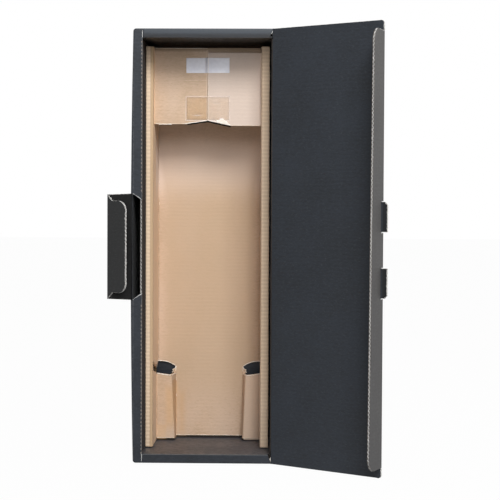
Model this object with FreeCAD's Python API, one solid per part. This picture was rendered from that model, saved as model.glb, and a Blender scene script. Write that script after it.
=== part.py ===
import FreeCAD, Part
import math
import os

os.makedirs("parts", exist_ok=True)

# Outer tray, in millimetres: X across the width, Y into the depth, Z up
box_width = 123.0
box_depth = 96.0
box_height = 380.0
board = 1.7
rim_width = 8.0
wall_bow = 2.0
fold_round = 1.4
corner_round = 2.6
seam = 0.6
panel_gap = 0.3
corner_gap_width = 3.0
corner_gap_height = 6.4
ear_length = 45.0
ear_clearance = 2.0

# Lid, hinged on the right wall
lid_side_gap = 3.35
lid_edge_gap = 0.3
lid_corner_round = 3.0
lid_rest_angle = 34.4
hinge_gap = 0.3
lid_over_rim = 0.3

# Tuck flap along the lid's free edge
tuck_depth = 28.0
tuck_end_gap = 1.0
tuck_corner_round = 12.0
tuck_rest_fold = 78.7
tuck_twist = 5.0

# Two tabs that stay in the lid's plane beside the tuck flap
tab_length = 25.0
tab_spacing = 30.0
tab_reach = 4.4
tab_corner = 2.5
tab_clearance = 0.5

# Lock flap on the left wall
lock_height = 190.0
lock_hinge_length = 92.7
lock_taper = 0.7
lock_panel_depth = 20.0
lock_cut_taper = 5.85
lock_over_lid = 0.3

# Tip of the lock flap, which enters the lid's slot
tip_depth = 21.0
tip_shoulder = 5.0
tip_shoulder_step = 5.65
tip_corner_round = 9.0
tip_rest_fold = 143.0
tip_swing_spare = 4.0
slot_width = 3.4
slot_inner_gap = 0.8

# Bottle cradle of brown board
cradle_board = 1.6
cradle_rim = 6.4
cradle_recess = 34.0
cradle_side_gap = 0.4
cradle_hinge_side_gap = 3.8
cradle_back_gap = 0.3
cradle_foot_gap = 0.8
cradle_head_gap = 4.2
cradle_bend = 1.1

# Bottle seats pushed in at the cradle's lower corners
seat_depth = 17.0
seat_top_width = 14.0
seat_foot_width = 17.0
seat_ridge_height = 60.0
seat_crease_height = 62.0
lens_tip_rise = 4.4
lens_corner_rise = 9.0
lens_slot_rise = 15.2
lens_slot_height = 8.8
lens_slot_margin = 3.0
lens_bulge = 1.3

# Neck bridge across the cradle's head
bridge_set_back = 11.0
bridge_layer_gap = 0.25
back_flap_height = 68.4
front_flap_drop = 4.4
front_flap_height = 65.5
bridge_seam_share = 0.5
bridge_end_gap = 0.8
notch_width = 41.0
notch_rise = 3.0

# Clear tape over the bridge's seam
tape_thickness = 0.2
tape_bend = 0.11
tape_width = 39.0
upper_tape_height = 13.5
upper_tape_drop = 4.6
lower_tape_width = 40.0
lower_tape_height = 22.0

# Places worked out from the sizes
left = -box_width / 2
right = box_width / 2
front = -box_depth / 2
back = box_depth / 2
half_board = board / 2
lock_wall = left - wall_bow
lid_axis_x = right - half_board
lid_axis_y = front - lid_over_rim - half_board
lock_axis_x = lock_wall + half_board
lock_axis_y = lid_axis_y - board - lock_over_lid
lid_middle = box_height / 2
lid_width = box_width - half_board - rim_width - lid_side_gap
lock_fold_length = lock_hinge_length - 2 * lock_taper
lock_cut_length = lock_hinge_length - 2 * lock_cut_taper
tip_length = lock_fold_length - 2 * tip_shoulder_step
cradle_width = box_width - rim_width - board - cradle_side_gap - cradle_hinge_side_gap


def point(x, y, z=0.0):
    return FreeCAD.Vector(x, y, z)


def line(start, end):
    return Part.makeLine(start, end)


def arc(start, middle, end):
    return Part.Arc(start, middle, end).toShape()


def closed_face(corners):
    return Part.Face(Part.makePolygon(corners + [corners[0]]))


def block(low, high):
    size = high - low
    return Part.makeBox(size.x, size.y, size.z, low)


def turned(shape, x, y, angle):
    return shape.rotate(point(x, y), point(0, 0, 1), angle)


# A bent board seen on end: a strip along a path, with a round bend at each corner
def strip_side(path, offset, bend):
    edges = []
    start = path[0] + side_of(path[0], path[1]) * offset
    for index in range(1, len(path) - 1):
        corner = path[index]
        inward = (corner - path[index - 1]).normalize()
        outward = (path[index + 1] - corner).normalize()
        turn = math.acos(max(-1.0, min(1.0, inward.dot(outward))))
        hand = 1 if inward.cross(outward).z > 0 else -1
        reach = bend * math.tan(turn / 2)
        first = corner - inward * reach
        last = corner + outward * reach
        centre = first + turned_left(inward) * (bend * hand)
        radius = bend - offset * hand
        towards = (corner - centre).normalize()
        enter = first + turned_left(inward) * offset
        leave = last + turned_left(outward) * offset
        edges.append(line(start, enter))
        edges.append(arc(enter, centre + towards * radius, leave))
        start = leave
    end = path[-1] + side_of(path[-2], path[-1]) * offset
    edges.append(line(start, end))
    return edges, end


def turned_left(direction):
    return point(-direction.y, direction.x)


def side_of(start, end):
    return turned_left((end - start).normalize())


def board_strip(path, thickness, bend):
    half = thickness / 2
    one_side, one_end = strip_side(path, half, bend)
    other_side, other_end = strip_side(path, -half, bend)
    one_start = path[0] + side_of(path[0], path[1]) * half
    other_start = path[0] - side_of(path[0], path[1]) * half
    caps = [line(one_end, other_end), line(other_start, one_start)]
    ordered = one_side + [caps[0]] + other_side[::-1] + [caps[1]]
    return Part.Wire(Part.__sortEdges__(ordered))


# The tray's end view, with the left wall bowed outwards
def tray_face(inset, bow):
    low_left = point(left + inset, 0, inset)
    low_right = point(right - inset, 0, inset)
    top_right = point(right - inset, 0, box_height - inset)
    top_left = point(left + inset, 0, box_height - inset)
    bulge = point(left + inset - bow, 0, box_height / 2)
    edges = [line(low_left, low_right), line(low_right, top_right), line(top_right, top_left)]
    edges.append(arc(top_left, bulge, low_left))
    return Part.Face(Part.Wire(edges))


def slab(face, y_start, y_end):
    placed = face.copy()
    placed.translate(point(0, y_start))
    return placed.extrude(point(0, y_end - y_start))


def is_tray_corner(edge):
    return edge.BoundBox.YLength > box_depth - 0.01 and edge.BoundBox.XMax < 0


def tray_shell():
    outside = slab(tray_face(0, wall_bow), front, back)
    outside = outside.makeFillet(corner_round, [e for e in outside.Edges if is_tray_corner(e)])
    outside = outside.makeFillet(fold_round, [e for e in outside.Edges if is_front_or_back(e)])
    inside = slab(tray_face(board, wall_bow), front + board, back - board)
    low = point(left + rim_width, front - board, rim_width)
    high = point(right - board, front + 2 * board, box_height - rim_width)
    return outside.cut(inside).cut(block(low, high))


def is_front_or_back(edge):
    spread = edge.BoundBox
    if spread.YLength > 0.001:
        return False
    on_right = spread.XMin > right - 0.01 and spread.YMin < 0
    return not on_right


# The rims' cut ends: a slit beside the left rim and a slanted end at the right wall
def rim_slits():
    low = point(left + rim_width, front - board, board)
    high = point(left + rim_width + seam, front + board + panel_gap, rim_width + board)
    slit = block(low, high)
    inner = right - board
    corners = [
        point(inner, front - board, rim_width + board),
        point(inner - corner_gap_width, front - board, rim_width + board),
        point(inner - corner_gap_width, front - board, rim_width),
        point(inner, front - board, rim_width - corner_gap_height),
    ]
    slant = closed_face(corners).extrude(point(0, 2 * board + panel_gap))
    both = slit.fuse(slant)
    return both.fuse(mirrored_in_height(both))


def mirrored_in_height(shape):
    return shape.mirror(point(0, 0, box_height / 2), point(0, 0, 1))


# Inner panels of the double walls, hanging from the rims
def left_inner_panel():
    outer = left + rim_width
    low = point(outer - board, front + half_board, rim_width + panel_gap)
    high = point(outer, back - board - panel_gap, box_height - rim_width - panel_gap)
    return block(low, high)


def end_inner_panel():
    first = left + board + panel_gap
    low = point(left + rim_width + seam, front + half_board, rim_width - board)
    high = point(right - board - corner_gap_width, back - board - panel_gap, rim_width)
    hung = block(low, high)
    low = point(first, front + board + panel_gap, rim_width - board)
    high = point(right - board - panel_gap, back - board - panel_gap, rim_width)
    return hung.fuse(block(low, high))


# Ears of the side walls, folded into the hollow end walls
def ears():
    low = board + panel_gap
    depth_low = front + board + ear_clearance
    depth_high = back - board - ear_clearance
    left_ear = block(point(left + half_board, depth_low, low),
                     point(left + board + ear_length, depth_high, low + board))
    right_ear = block(point(right - board - ear_length, depth_low, low),
                      point(right - half_board, depth_high, low + board))
    return left_ear.fuse(right_ear)


# Opening in the left rim at the lock flap; the inner panel's edge shows behind it
def lock_cut():
    outer_half = lock_hinge_length / 2
    inner_half = lock_cut_length / 2
    edge = left + board - wall_bow
    inner = left + rim_width
    y_start = front - board
    outline = [
        point(edge, y_start, lock_height - outer_half),
        point(inner, y_start, lock_height - inner_half),
        point(inner, y_start, lock_height + inner_half),
        point(edge, y_start, lock_height + outer_half),
    ]
    return closed_face(outline).extrude(point(0, 2 * board))


# The left wall rises a little along the lock flap's hinge
def lock_lip():
    end = lock_axis_y + half_board + hinge_gap
    band = tray_face(0, wall_bow).cut(tray_face(board, wall_bow))
    ring = slab(band, end, front + 2 * board)
    half = lock_hinge_length / 2
    low = point(left - 2 * wall_bow, end - board, lock_height - half)
    high = point(left + board, front + 3 * board, lock_height + half)
    return ring.common(block(low, high))


def outer_box():
    tray = tray_shell().cut(rim_slits()).cut(lock_cut())
    panels = end_inner_panel().fuse(ears())
    for panel in (left_inner_panel(), panels, mirrored_in_height(panels)):
        tray = tray.fuse(panel)
    return tray.removeSplitter().fuse(lock_lip())


# Panels that fold are drawn flat along +X from their hinge line, then turned
def hinge_nose(bottom, top):
    return Part.makeCylinder(half_board, top - bottom, point(0, 0, bottom))


def flat_panel(start, end, bottom, top):
    return block(point(start, -half_board, bottom), point(end, half_board, top))


def rounded(shape, x, low, high, radius):
    edges = []
    for edge in shape.Edges:
        middle = edge.BoundBox.Center
        across = edge.BoundBox.YLength > half_board
        at_end = abs(middle.x - x) < 0.01
        if across and at_end and min(abs(middle.z - low), abs(middle.z - high)) < 0.01:
            edges.append(edge)
    return shape.makeFillet(radius, edges)


def tab_ranges(margin):
    inner = tab_spacing / 2 - margin
    outer = tab_spacing / 2 + tab_length + margin
    return [(lid_middle - outer, lid_middle - inner), (lid_middle + inner, lid_middle + outer)]


def lid_slot():
    centre = lid_axis_x - (lock_axis_x + lock_panel_depth)
    start = centre + half_board + slot_inner_gap - slot_width
    half = lock_fold_length / 2
    low = point(start, -board, lock_height - half)
    high = point(start + slot_width, board, lock_height + half)
    return block(low, high)


def lid_tab(low, high, chamfer_top):
    start = tuck_axis() - 2 * board
    end = lid_width + tab_reach
    square = low if chamfer_top else high
    cut = high if chamfer_top else low
    inward = -tab_corner if chamfer_top else tab_corner
    corners = [
        point(start, -half_board, square),
        point(end, -half_board, square),
        point(end, -half_board, cut + inward),
        point(end - tab_corner, -half_board, cut),
        point(start, -half_board, cut),
    ]
    return closed_face(corners).extrude(point(0, board))


def tuck_axis():
    return lid_width - half_board


def lid_end():
    return tuck_axis() - half_board - hinge_gap


# The lid's corners run on past the tuck flap's ends
def tuck_room():
    low = rim_width + tuck_end_gap - hinge_gap
    return block(point(lid_end(), -board, low), point(lid_width + board, board, box_height - low))


def lid():
    bottom = lid_edge_gap
    top = box_height - lid_edge_gap
    panel = flat_panel(0, lid_width, bottom, top)
    panel = rounded(panel, lid_width, bottom, top, lid_corner_round).cut(tuck_room())
    panel = panel.fuse(hinge_nose(bottom, top))
    lower, upper = tab_ranges(0)
    panel = panel.fuse(lid_tab(lower[0], lower[1], False))
    panel = panel.fuse(lid_tab(upper[0], upper[1], True))
    return panel.cut(lid_slot()).removeSplitter()


# The tuck flap stands slightly twisted, folded further at its foot than at its head
def twisted_panel(length, bottom, top, twist):
    wires = []
    for height, angle in ((bottom, -twist / 2), (top, twist / 2)):
        corners = [
            point(0, -half_board, height),
            point(length, -half_board, height),
            point(length, half_board, height),
            point(0, half_board, height),
        ]
        wires.append(turned(Part.makePolygon(corners + [corners[0]]), 0, 0, angle))
    return Part.makeLoft(wires, True, True)


def corner_cut(x, z, radius, upwards):
    middle = z - radius if upwards else z + radius
    low = point(x - radius, -2 * radius, min(middle, z))
    square = block(low, point(x + radius, 2 * radius, max(middle, z)))
    disc = Part.makeCylinder(radius, 4 * radius, point(x - radius, -2 * radius, middle), point(0, 1, 0))
    return square.cut(disc)


def lid_tuck_flap():
    bottom = rim_width + tuck_end_gap
    top = box_height - rim_width - tuck_end_gap
    flap = twisted_panel(tuck_depth, bottom, top, tuck_twist)
    flap = flap.cut(corner_cut(tuck_depth, bottom, tuck_corner_round, False))
    flap = flap.cut(corner_cut(tuck_depth, top, tuck_corner_round, True))
    flap = flap.fuse(hinge_nose(bottom, top))
    for low, high in tab_ranges(tab_clearance):
        end = half_board + tab_reach + tab_clearance
        cut = block(point(-board, -board, low), point(end, board, high))
        flap = flap.cut(cut)
    return flap.removeSplitter()


# The panel's end is pressed to a slant, so that the tip can fold back over it
def lock_crease_cut():
    swing = math.radians(tip_rest_fold + tip_swing_spare)
    clear = half_board + hinge_gap
    fold = lock_panel_depth
    near = fold - (clear - half_board * math.cos(swing)) / math.sin(swing)
    far = fold - (clear + half_board * math.cos(swing)) / math.sin(swing)
    half = lock_hinge_length / 2
    corners = [
        point(near, half_board, lock_height - half),
        point(fold, half_board, lock_height - half),
        point(far, -half_board, lock_height - half),
    ]
    return closed_face(corners).extrude(point(0, 0, 2 * half))


def lock_flap():
    root = lock_hinge_length / 2
    tip = lock_fold_length / 2
    end = lock_panel_depth - half_board - hinge_gap
    corners = [
        point(0, -half_board, lock_height - root),
        point(end, -half_board, lock_height - tip),
        point(end, -half_board, lock_height + tip),
        point(0, -half_board, lock_height + root),
    ]
    panel = closed_face(corners).extrude(point(0, board)).cut(lock_crease_cut())
    return panel.fuse(hinge_nose(lock_height - root, lock_height + root)).removeSplitter()


def lock_flap_tip():
    root = lock_fold_length / 2
    half = tip_length / 2
    corners = [
        point(0, -half_board, lock_height - root),
        point(tip_shoulder, -half_board, lock_height - half),
        point(tip_depth, -half_board, lock_height - half),
        point(tip_depth, -half_board, lock_height + half),
        point(tip_shoulder, -half_board, lock_height + half),
        point(0, -half_board, lock_height + root),
    ]
    panel = closed_face(corners).extrude(point(0, board))
    panel = rounded(panel, tip_depth, lock_height - half, lock_height + half, tip_corner_round)
    return panel.fuse(hinge_nose(lock_height - root, lock_height + root)).removeSplitter()


# Rest places: the lid stands open and carries its tuck flap
def place_on_lid(shape):
    opened = turned(shape, 0, 0, -lid_rest_angle)
    opened.translate(point(lid_axis_x, lid_axis_y))
    return opened


def place_tuck_flap(shape):
    folded = turned(shape, 0, 0, -tuck_rest_fold)
    folded.translate(point(tuck_axis(), 0))
    return place_on_lid(folded)


# The lock flap lies open to the left, with its tip folded back over it
def place_on_lock(shape):
    opened = turned(shape, 0, 0, 180)
    opened.translate(point(lock_axis_x, lock_axis_y))
    return opened


def place_tip(shape):
    folded = turned(shape, 0, 0, tip_rest_fold)
    folded.translate(point(lock_panel_depth, 0))
    return place_on_lock(folded)


# Cradle places
cradle_left = left + rim_width + cradle_side_gap
cradle_right = cradle_left + cradle_width
cradle_front = front + cradle_recess
cradle_back = back - board - cradle_back_gap
cradle_foot = rim_width + cradle_foot_gap
cradle_head = box_height - rim_width - cradle_head_gap
half_cradle = cradle_board / 2
outer_line = cradle_left + half_cradle
inner_line = cradle_left + cradle_rim - half_cradle
far_inner_line = cradle_right - cradle_rim + half_cradle
far_outer_line = cradle_right - half_cradle
rim_line = cradle_front + half_cradle
back_line = cradle_back - half_cradle
seat_line = back_line - seat_depth


# The cradle's bent sheet seen from above; seat 0 leaves the back corners plain
def cradle_path(seat):
    path = [
        point(outer_line, cradle_back),
        point(outer_line, rim_line),
        point(inner_line, rim_line),
    ]
    if seat > 0:
        path.append(point(inner_line, seat_line))
        path.append(point(inner_line + seat, seat_line))
        path.append(point(inner_line + seat_depth, back_line))
        path.append(point(far_inner_line - seat_depth, back_line))
        path.append(point(far_inner_line - seat, seat_line))
        path.append(point(far_inner_line, seat_line))
    else:
        path.append(point(inner_line, back_line))
        path.append(point(far_inner_line, back_line))
    path.append(point(far_inner_line, rim_line))
    path.append(point(far_outer_line, rim_line))
    path.append(point(far_outer_line, cradle_back))
    return path


def cradle_wire(seat, z):
    wire = board_strip(cradle_path(seat), cradle_board, cradle_bend)
    wire.translate(point(0, 0, z))
    return wire


def seat_zone():
    foot = cradle_wire(seat_foot_width, cradle_foot)
    top = cradle_wire(seat_top_width, cradle_foot + seat_crease_height)
    return Part.makeLoft([foot, top], True, True)


# The lower edge of the lens hole: the seat's own top, lowest at its ridge
def seat_top_cut():
    crease = cradle_foot + seat_crease_height
    ridge = cradle_foot + seat_ridge_height
    start = inner_line + half_cradle
    end = inner_line + seat_depth + cradle_board
    near = seat_line - cradle_board
    sag = (crease + 2 * ridge) / 3
    edges = [
        arc(point(start, near, crease), point((start + end) / 2, near, sag), point(end, near, ridge)),
        line(point(end, near, ridge), point(end, near, crease + board)),
        line(point(end, near, crease + board), point(start, near, crease + board)),
        line(point(start, near, crease + board), point(start, near, crease)),
    ]
    return Part.Face(Part.Wire(edges)).extrude(point(0, seat_depth - cradle_board))


# The upper edge of the lens hole in the back panel
def lens_back_cut():
    crease = cradle_foot + seat_crease_height
    tip = point(inner_line + seat_depth, back_line - cradle_board, crease + lens_tip_rise)
    top = point(inner_line, back_line - cradle_board, crease + lens_corner_rise)
    bulge = (tip + top) * 0.5 + point(lens_bulge, 0, lens_bulge)
    low = crease - board
    outer = inner_line - cradle_board
    edges = [
        arc(tip, bulge, top),
        line(top, point(outer, top.y, top.z)),
        line(point(outer, top.y, top.z), point(outer, top.y, low)),
        line(point(outer, top.y, low), point(tip.x, top.y, low)),
        line(point(tip.x, top.y, low), tip),
    ]
    return Part.Face(Part.Wire(edges)).extrude(point(0, 2 * cradle_board))


# The hole runs forward in the side panel as a slot that rises to the front
def lens_side_cut():
    crease = cradle_foot + seat_crease_height
    x = inner_line - cradle_board
    front_end = cradle_front + cradle_board + lens_slot_margin
    rise = crease + lens_slot_rise
    corners = [
        point(x, back_line + cradle_board, crease - board),
        point(x, back_line + cradle_board, crease + lens_corner_rise),
        point(x, seat_line, crease + lens_slot_height - lens_tip_rise),
        point(x, front_end, rise),
        point(x, front_end, rise - lens_slot_height),
        point(x, seat_line - half_cradle, crease),
        point(x, seat_line - half_cradle, crease - board),
    ]
    return closed_face(corners).extrude(point(2 * cradle_board, 0))


def mirrored_in_cradle(shape):
    middle = (cradle_left + cradle_right) / 2
    return shape.mirror(point(middle, 0, 0), point(1, 0, 0))


def both_sides(shape):
    return shape.fuse(mirrored_in_cradle(shape))


# Neck bridge: a flap from each side wall, overlapped at the middle
bridge_front = cradle_front + bridge_set_back
seam_x = cradle_left + cradle_width * bridge_seam_share
front_face = bridge_front - bridge_layer_gap - cradle_board
bridge_top = cradle_head
bridge_bottom = bridge_top - back_flap_height
front_flap_top = bridge_top - front_flap_drop
front_flap_bottom = front_flap_top - front_flap_height


def back_flap():
    low = point(inner_line, bridge_front, bridge_bottom)
    high = point(far_inner_line - half_cradle - bridge_end_gap, bridge_front + cradle_board, bridge_top)
    return block(low, high)


def front_flap():
    low = point(seam_x, front_face, front_flap_bottom)
    high = point(far_inner_line, front_face + cradle_board, front_flap_top)
    return block(low, high)


def bridge_notch():
    half = notch_width / 2
    y_start = front_face - cradle_board
    low = front_flap_bottom - cradle_board
    corners = [
        point(seam_x - half, y_start, low),
        point(seam_x + half, y_start, low),
        point(seam_x + half, y_start, front_flap_bottom),
        point(seam_x, y_start, bridge_bottom + notch_rise),
        point(seam_x - half, y_start, bridge_bottom),
    ]
    return closed_face(corners).extrude(point(0, 5 * cradle_board))


def bottle_cradle():
    lower = seat_zone().cut(both_sides(seat_top_cut()))
    start = cradle_foot + seat_crease_height
    upper = Part.Face(cradle_wire(0, start)).extrude(point(0, 0, cradle_head - start))
    holes = both_sides(lens_back_cut().fuse(lens_side_cut()))
    bridge = back_flap().fuse(front_flap()).cut(bridge_notch())
    return lower.fuse(upper.cut(holes)).fuse(bridge).removeSplitter()


# Clear tape laid over the step between the two flaps
def tape(width, bottom, top):
    half = tape_thickness / 2
    back_skin = bridge_front - half
    front_skin = front_face - half
    step = seam_x - half
    path = [
        point(seam_x - width / 2, back_skin),
        point(step, back_skin),
        point(step, front_skin),
        point(seam_x + width / 2, front_skin),
    ]
    wire = board_strip(path, tape_thickness, tape_bend)
    wire.translate(point(0, 0, bottom))
    return Part.Face(wire).extrude(point(0, 0, top - bottom))


def tape_upper():
    top = front_flap_top - upper_tape_drop
    return tape(tape_width, top - upper_tape_height, top)


def tape_lower():
    bottom = bridge_bottom + notch_rise
    return tape(lower_tape_width, bottom, bottom + lower_tape_height)


parts = {
    "outer_box": outer_box(),
    "lid": place_on_lid(lid()),
    "lid_tuck_flap": place_tuck_flap(lid_tuck_flap()),
    "lock_flap": place_on_lock(lock_flap()),
    "lock_flap_tip": place_tip(lock_flap_tip()),
    "bottle_cradle": bottle_cradle(),
    "tape_upper": tape_upper(),
    "tape_lower": tape_lower(),
}

for name, shape in parts.items():
    shape.exportStep("parts/" + name + ".step")
    spread = shape.BoundBox
    print(name, shape.isValid(), len(shape.Solids), round(shape.Volume, 1), spread)
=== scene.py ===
import bmesh
import bpy
import math
from mathutils import Matrix, Vector, noise


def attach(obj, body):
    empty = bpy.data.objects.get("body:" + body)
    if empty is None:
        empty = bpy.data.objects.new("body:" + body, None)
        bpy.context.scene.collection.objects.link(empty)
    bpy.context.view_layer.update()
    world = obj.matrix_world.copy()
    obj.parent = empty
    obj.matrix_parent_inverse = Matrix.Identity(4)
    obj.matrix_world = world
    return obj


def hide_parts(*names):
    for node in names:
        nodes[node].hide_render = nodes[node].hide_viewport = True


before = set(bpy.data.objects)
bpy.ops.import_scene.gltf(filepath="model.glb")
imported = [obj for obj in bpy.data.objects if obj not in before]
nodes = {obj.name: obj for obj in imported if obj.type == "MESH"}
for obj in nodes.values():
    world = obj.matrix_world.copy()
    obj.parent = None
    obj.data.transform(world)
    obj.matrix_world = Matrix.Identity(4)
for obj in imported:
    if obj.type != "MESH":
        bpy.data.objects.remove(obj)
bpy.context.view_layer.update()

scene = bpy.context.scene
mm = 0.001
print("bottle box: frame loaded,", len(nodes), "folded pieces")


# camera, read off the photo's corners and creases
cameraSettings = {
    "place": (65.31, -1303.47, 228.76),
    "yaw": -1.115,
    "pitch": -1.877,
    "roll": 0.256,
    "focalPixels": 1440.5,
    "framePixels": 500,
}


def makeCamera(settings):
    yaw, pitch, roll = (math.radians(settings[key]) for key in ("yaw", "pitch", "roll"))
    ahead = Vector((math.sin(yaw) * math.cos(pitch), math.cos(yaw) * math.cos(pitch), math.sin(pitch)))
    level = Vector((math.cos(yaw), -math.sin(yaw), 0))
    above = level.cross(ahead)
    right = level * math.cos(roll) + above * math.sin(roll)
    up = above * math.cos(roll) - level * math.sin(roll)
    data = bpy.data.cameras.new("photoCamera")
    data.sensor_width = 36
    data.lens = settings["focalPixels"] * 36 / settings["framePixels"]
    data.clip_start = 0.05
    camera = bpy.data.objects.new("photoCamera", data)
    turn = Matrix((right, up, -ahead)).transposed().to_4x4()
    camera.matrix_world = Matrix.Translation(Vector(settings["place"]) * mm) @ turn
    scene.collection.objects.link(camera)
    scene.camera = camera


makeCamera(cameraSettings)


# node helpers: a new group, plugged sockets and the kinds of node used most
def newGroup(name, inputs, outputs, kind="ShaderNodeTree"):
    tree = bpy.data.node_groups.new(name, kind)
    for label, socketKind, value in inputs:
        socket = tree.interface.new_socket(label, in_out="INPUT", socket_type="NodeSocket" + socketKind)
        if value is not None:
            socket.default_value = value
    for label, socketKind in outputs:
        tree.interface.new_socket(label, in_out="OUTPUT", socket_type="NodeSocket" + socketKind)
    return tree, tree.nodes.new("NodeGroupInput"), tree.nodes.new("NodeGroupOutput")


# colours are given as three numbers
def plug(tree, value, socket):
    if isinstance(value, bpy.types.NodeSocket):
        tree.links.new(value, socket)
    elif value is not None:
        socket.default_value = (*value, 1) if socket.type == "RGBA" else value


def plugAll(tree, node, inputs):
    for label, value in inputs.items():
        plug(tree, value, node.inputs[label])


def newNode(tree, kind, inputs, **settings):
    node = tree.nodes.new(kind)
    for name, value in settings.items():
        setattr(node, name, value)
    plugAll(tree, node, inputs)
    return node


def mathNode(tree, kind, *values, clamp=False):
    return newNode(tree, "ShaderNodeMath", dict(enumerate(values)), operation=kind, use_clamp=clamp).outputs[0]


def vectorNode(tree, kind, *values):
    node = newNode(tree, "ShaderNodeVectorMath", dict(enumerate(values)), operation=kind)
    return node.outputs["Value" if kind == "LENGTH" else "Vector"]


def scaleNode(tree, vector, factor):
    return newNode(tree, "ShaderNodeVectorMath", {0: vector, "Scale": factor}, operation="SCALE").outputs[0]


def noiseNode(tree, vector, scale, detail=2.0, roughness=0.5):
    inputs = {"Vector": vector, "Scale": scale, "Detail": detail, "Roughness": roughness}
    return newNode(tree, "ShaderNodeTexNoise", inputs).outputs["Fac"]


def rangeNode(tree, value, low, high, toLow=0.0, toHigh=1.0):
    inputs = dict(enumerate((value, low, high, toLow, toHigh)))
    return newNode(tree, "ShaderNodeMapRange", inputs, interpolation_type="SMOOTHSTEP").outputs[0]


def mixColour(tree, share, first, second):
    inputs = {"Factor": share, "A": first, "B": second}
    return newNode(tree, "ShaderNodeMix", inputs, data_type="RGBA").outputs["Result"]


def attributeNode(tree, name):
    return newNode(tree, "ShaderNodeAttribute", {}, attribute_name=name).outputs["Fac"]


def addBump(tree, shader, height, distance, strength=None):
    bump = newNode(tree, "ShaderNodeBump", {"Distance": distance, "Strength": strength, "Height": height})
    plug(tree, bump.outputs[0], shader.inputs["Normal"])


def newMaterial(name):
    material = bpy.data.materials.new(name)
    material.use_nodes = True
    tree = material.node_tree
    return material, tree, tree.nodes["Principled BSDF"]


def objectPlace(tree):
    return tree.nodes.new("ShaderNodeTexCoord").outputs["Object"]


# soft studio: one lamp high in front, one lower in front, a wide one far to the right, white all round
studioSettings = {
    "aim": (0.02, -0.02, 0.19),
    "lamps": (
        {"name": "keyLamp", "turn": 16, "rise": 41, "away": 1.7, "size": 0.60, "power": 26.5},
        {"name": "frontLamp", "turn": 6, "rise": 21, "away": 2.2, "size": 0.7, "power": 9},
        {"name": "sideLamp", "turn": 78, "rise": 14, "away": 1.6, "size": 0.9, "power": 12},
    ),
    "surround": (0.15, 0.155, 0.165),
    "floor": (0.50, 0.50, 0.50),
    "floorRoughness": 0.9,
    "floorGlow": 0.975,
    "floorReach": 8,
}


# rays that see the white: from the camera, mirrored or through clear film
def whiteRays(tree):
    path = tree.nodes.new("ShaderNodeLightPath").outputs
    seen = mathNode(tree, "MAXIMUM", path["Is Camera Ray"], path["Is Glossy Ray"])
    return mathNode(tree, "MAXIMUM", seen, path["Is Transmission Ray"])


def makeStudio(settings):
    aim = Vector(settings["aim"])
    for lamp in settings["lamps"]:
        turn, rise = math.radians(lamp["turn"]), math.radians(lamp["rise"])
        out = Vector((math.sin(turn) * math.cos(rise), -math.cos(turn) * math.cos(rise), math.sin(rise)))
        data = bpy.data.lights.new(lamp["name"], "AREA")
        data.size = lamp["size"]
        data.energy = lamp["power"]
        light = bpy.data.objects.new(lamp["name"], data)
        light.location = aim + out * lamp["away"]
        light.rotation_euler = out.to_track_quat("Z", "Y").to_euler()
        scene.collection.objects.link(light)

    world = bpy.data.worlds.new("whiteStudio")
    world.use_nodes = True
    scene.world = world
    tree = world.node_tree
    tree.nodes.clear()
    plain = newNode(tree, "ShaderNodeBackground", {"Color": settings["surround"]})
    white = newNode(tree, "ShaderNodeBackground", {"Color": (1, 1, 1)})
    mix = newNode(tree, "ShaderNodeMixShader", {0: whiteRays(tree), 1: plain.outputs[0], 2: white.outputs[0]})
    newNode(tree, "ShaderNodeOutputWorld", {"Surface": mix.outputs[0]})

    mesh = bpy.data.meshes.new("studioFloor")
    reach = settings["floorReach"]
    corners = [(-reach, -reach, 0), (reach, -reach, 0), (reach, reach, 0), (-reach, reach, 0)]
    mesh.from_pydata(corners, [], [(0, 1, 2, 3)])
    floor = bpy.data.objects.new("studioFloor", mesh)
    scene.collection.objects.link(floor)
    material, tree, base = newMaterial("studioFloor")
    plugAll(tree, base, {"Base Color": settings["floor"], "Roughness": settings["floorRoughness"]})
    share = mathNode(tree, "MULTIPLY", whiteRays(tree), settings["floorGlow"])
    glow = newNode(tree, "ShaderNodeEmission", {})
    mix = newNode(tree, "ShaderNodeMixShader", {0: share, 1: base.outputs[0], 2: glow.outputs[0]})
    plug(tree, mix.outputs[0], tree.nodes["Material Output"].inputs["Surface"])
    mesh.materials.append(material)


makeStudio(studioSettings)
scene.view_settings.view_transform = "Standard"
print("bottle box: camera and studio ready")


# paper: cloudy mottle, long fibres and flecks
def paperFibre():
    tree, entry, leave = newGroup(
        "paperFibre", (("Vector", "Vector", None), ("Cloud", "Float", 30.0), ("Fibre", "Float", 900.0)),
        (("Mottle", "Float"), ("Fleck", "Float"), ("Height", "Float")))
    place, fibreScale = entry.outputs["Vector"], entry.outputs["Fibre"]
    cloud = noiseNode(tree, place, entry.outputs["Cloud"], 4.0, 0.55)
    stretched = vectorNode(tree, "MULTIPLY", place, (0.35, 0.35, 1.0))
    fibre = noiseNode(tree, stretched, fibreScale, 3.0, 0.6)
    speck = noiseNode(tree, stretched, mathNode(tree, "MULTIPLY", fibreScale, 1.7), 1.0)
    mottle = mathNode(tree, "ADD", mathNode(tree, "MULTIPLY", cloud, 0.45), mathNode(tree, "MULTIPLY", fibre, 0.55))
    plugAll(tree, leave, {"Mottle": rangeNode(tree, mottle, 0.34, 0.66),
                          "Fleck": rangeNode(tree, speck, 0.54, 0.78), "Height": fibre})
    return tree


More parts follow.
